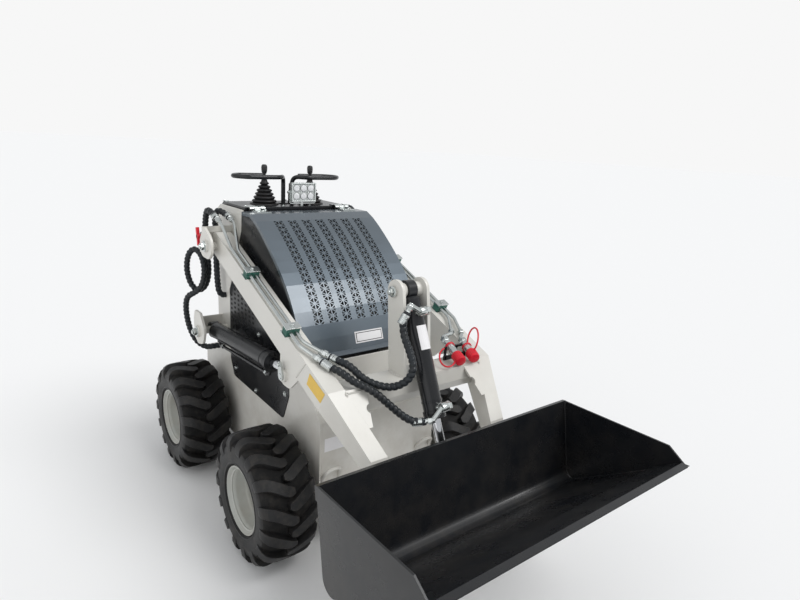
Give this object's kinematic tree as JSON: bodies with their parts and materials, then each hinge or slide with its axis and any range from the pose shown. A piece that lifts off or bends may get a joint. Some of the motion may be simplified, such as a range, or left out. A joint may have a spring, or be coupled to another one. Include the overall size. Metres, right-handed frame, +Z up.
{
  "type": "compact stand-behind wheel loader",
  "caption": "Compact four-wheel skid steer loader with lift arms, central tilt cylinder, bucket, hinged perforated hood and rear operator platform.",
  "frame": {"origin": "on the ground under the middle of the machine's length and width", "axes": "+X forward along the machine's length, +Y to its left, +Z up"},
  "size_m": [2.1318, 1, 1.309],
  "materials": {
    "pale_paint": "satin",
    "rim_paint": "satin",
    "black_paint": "satin",
    "tyre_rubber": "matte",
    "rod_chrome": "polished",
    "engine_iron": "rough",
    "boot_rubber": "matte",
    "black_plastic": "satin",
    "red_plastic": "gloss",
    "zinc": "brushed",
    "hose_rubber": "satin"
  },
  "bodies": {
    "arms": {"arm_right": "pale_paint", "arm_left": "pale_paint", "cross_member": "pale_paint", "mast": "pale_paint", "hydraulic_lines": "zinc", "line_clamps": "zinc", "quick_couplers": "zinc", "coupler_caps": "red_plastic", "tilt_hose_upper": "hose_rubber", "tilt_hose_lower": "hose_rubber"},
    "hood": {"hood": "black_paint"},
    "bucket": {"bucket_shell": "black_paint", "cutting_edge": "black_paint", "hitch_plate": "black_paint"},
    "lift_barrel_right": {"lift_barrel_right": "black_paint"},
    "lift_barrel_left": {"lift_barrel_left": "black_paint"},
    "lift_rod_right": {"lift_rod_right": "rod_chrome"},
    "lift_rod_left": {"lift_rod_left": "rod_chrome"},
    "tilt_barrel": {"tilt_barrel": "black_paint", "tilt_ports": "zinc"},
    "tilt_rod": {"tilt_rod": "rod_chrome"},
    "wheel_front_right": {"tyre_front_right": "tyre_rubber", "rim_front_right": "rim_paint"},
    "wheel_front_left": {"tyre_front_left": "tyre_rubber", "rim_front_left": "rim_paint"},
    "wheel_rear_right": {"tyre_rear_right": "tyre_rubber", "rim_rear_right": "rim_paint"},
    "wheel_rear_left": {"tyre_rear_left": "tyre_rubber", "rim_rear_left": "rim_paint"},
    "chassis": {"chassis_side_right": "pale_paint", "chassis_side_left": "pale_paint", "nose_plate": "pale_paint", "belly_pan": "pale_paint", "rear_frame": "pale_paint", "tower_right": "pale_paint", "tower_left": "pale_paint", "tie_loops": "pale_paint", "side_panel_right": "black_paint", "side_panel_left": "black_paint", "engine": "engine_iron", "control_panel": "black_paint", "lever_boots": "boot_rubber", "control_levers": "black_plastic", "hand_guards": "black_paint", "work_lamp": "black_plastic", "hood_hinges": "zinc", "battery_switch": "red_plastic", "foot_platform": "black_paint", "tower_hose_right": "hose_rubber", "tower_hose_left": "hose_rubber", "hub_motors": "engine_iron"}
  },
  "joints": [
    {"name": "wheel_front_right_spin", "type": "hinge", "parent": "chassis", "child": "wheel_front_right", "pos_m": [0.06911, -0.386, 0.2285], "axis": [0, 1, 0], "continuous": true},
    {"name": "wheel_front_left_spin", "type": "hinge", "parent": "chassis", "child": "wheel_front_left", "pos_m": [0.06911, 0.386, 0.2285], "axis": [0, 1, 0], "continuous": true},
    {"name": "wheel_rear_right_spin", "type": "hinge", "parent": "chassis", "child": "wheel_rear_right", "pos_m": [-0.66089, -0.386, 0.2285], "axis": [0, 1, 0], "continuous": true},
    {"name": "wheel_rear_left_spin", "type": "hinge", "parent": "chassis", "child": "wheel_rear_left", "pos_m": [-0.66089, 0.386, 0.2285], "axis": [0, 1, 0], "continuous": true},
    {"name": "arms_lift", "type": "hinge", "parent": "chassis", "child": "arms", "pos_m": [-0.47689, 0, 0.998], "axis": [0, -1, 0], "range_deg": [-13.5, 70]},
    {"name": "bucket_dump", "type": "hinge", "parent": "arms", "child": "bucket", "pos_m": [0.52911, 0, 0.335], "axis": [0, 1, 0], "range_deg": [-6, 105]},
    {"name": "hood_open", "type": "hinge", "parent": "chassis", "child": "hood", "pos_m": [-0.41089, 0, 1.146], "axis": [0, -1, 0], "range_deg": [0, 60]},
    {"name": "lift_barrel_right_swing", "type": "hinge", "parent": "chassis", "child": "lift_barrel_right", "pos_m": [-0.59189, -0.305, 0.621], "axis": [0, -1, 0], "range_deg": [-9.6, 49.2]},
    {"name": "lift_rod_right_slide", "type": "slide", "parent": "lift_barrel_right", "child": "lift_rod_right", "axis": [0.9978, 0, 0.0669], "range_m": [-0.067, 0.344]},
    {"name": "lift_barrel_left_swing", "type": "hinge", "parent": "chassis", "child": "lift_barrel_left", "pos_m": [-0.59189, 0.305, 0.621], "axis": [0, -1, 0], "range_deg": [-9.6, 49.2]},
    {"name": "lift_rod_left_slide", "type": "slide", "parent": "lift_barrel_left", "child": "lift_rod_left", "axis": [0.9978, 0, 0.0669], "range_m": [-0.067, 0.344]},
    {"name": "tilt_barrel_swing", "type": "hinge", "parent": "arms", "child": "tilt_barrel", "pos_m": [0.30911, 0, 0.968], "axis": [0, -1, 0], "range_deg": [-0.4, 6.4]},
    {"name": "tilt_rod_slide", "type": "slide", "parent": "tilt_barrel", "child": "tilt_rod", "axis": [0.4227, 0, -0.9063], "range_m": [-0.015, 0.247]}
  ],
  "couplings": [
    {"joint": "lift_barrel_right_swing", "follows": "arms_lift", "ratio": 0.7},
    {"joint": "lift_rod_right_slide", "follows": "arms_lift", "m_per_rad": 0.281},
    {"joint": "lift_barrel_left_swing", "follows": "arms_lift", "ratio": 0.7},
    {"joint": "lift_rod_left_slide", "follows": "arms_lift", "m_per_rad": 0.281},
    {"joint": "tilt_barrel_swing", "follows": "bucket_dump", "ratio": 0.06},
    {"joint": "tilt_rod_slide", "follows": "bucket_dump", "m_per_rad": 0.134}
  ]
}
